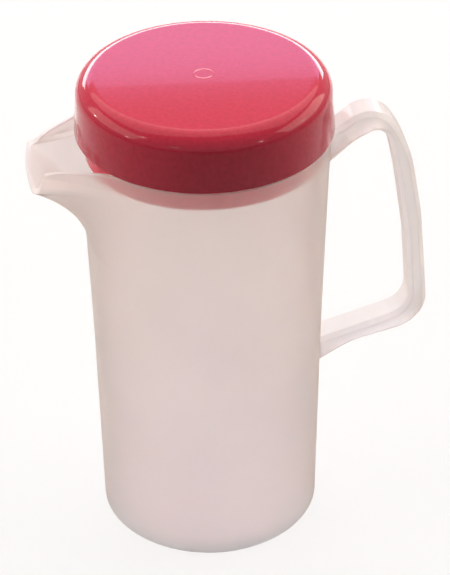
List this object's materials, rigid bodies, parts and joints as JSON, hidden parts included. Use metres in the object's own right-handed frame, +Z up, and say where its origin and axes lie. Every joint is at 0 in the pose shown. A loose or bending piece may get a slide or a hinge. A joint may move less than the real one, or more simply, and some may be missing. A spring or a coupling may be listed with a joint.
{
  "type": "plastic jug with lid",
  "caption": "Tall tapered plastic jug in milky translucent polypropylene with a beak spout, a closed D handle and a red push-in lid.",
  "frame": {"origin": "on the jug's own axis, in the plane that its foot ring stands on", "axes": "+Z up along the jug's axis, +X towards the handle, so the spout points along -X, +Y to the right of the spout as the pourer sees it from behind the handle"},
  "size_m": [0.1785, 0.1128, 0.227],
  "materials": {
    "milky_plastic": "gloss",
    "red_plastic": "gloss"
  },
  "bodies": {
    "jug": {"jug": "milky_plastic"},
    "lid": {"lid": "red_plastic"}
  },
  "joints": [
    {"name": "lid_lift", "type": "slide", "parent": "jug", "child": "lid", "axis": [0, 0, 1], "range_m": [0, 0.06]}
  ]
}
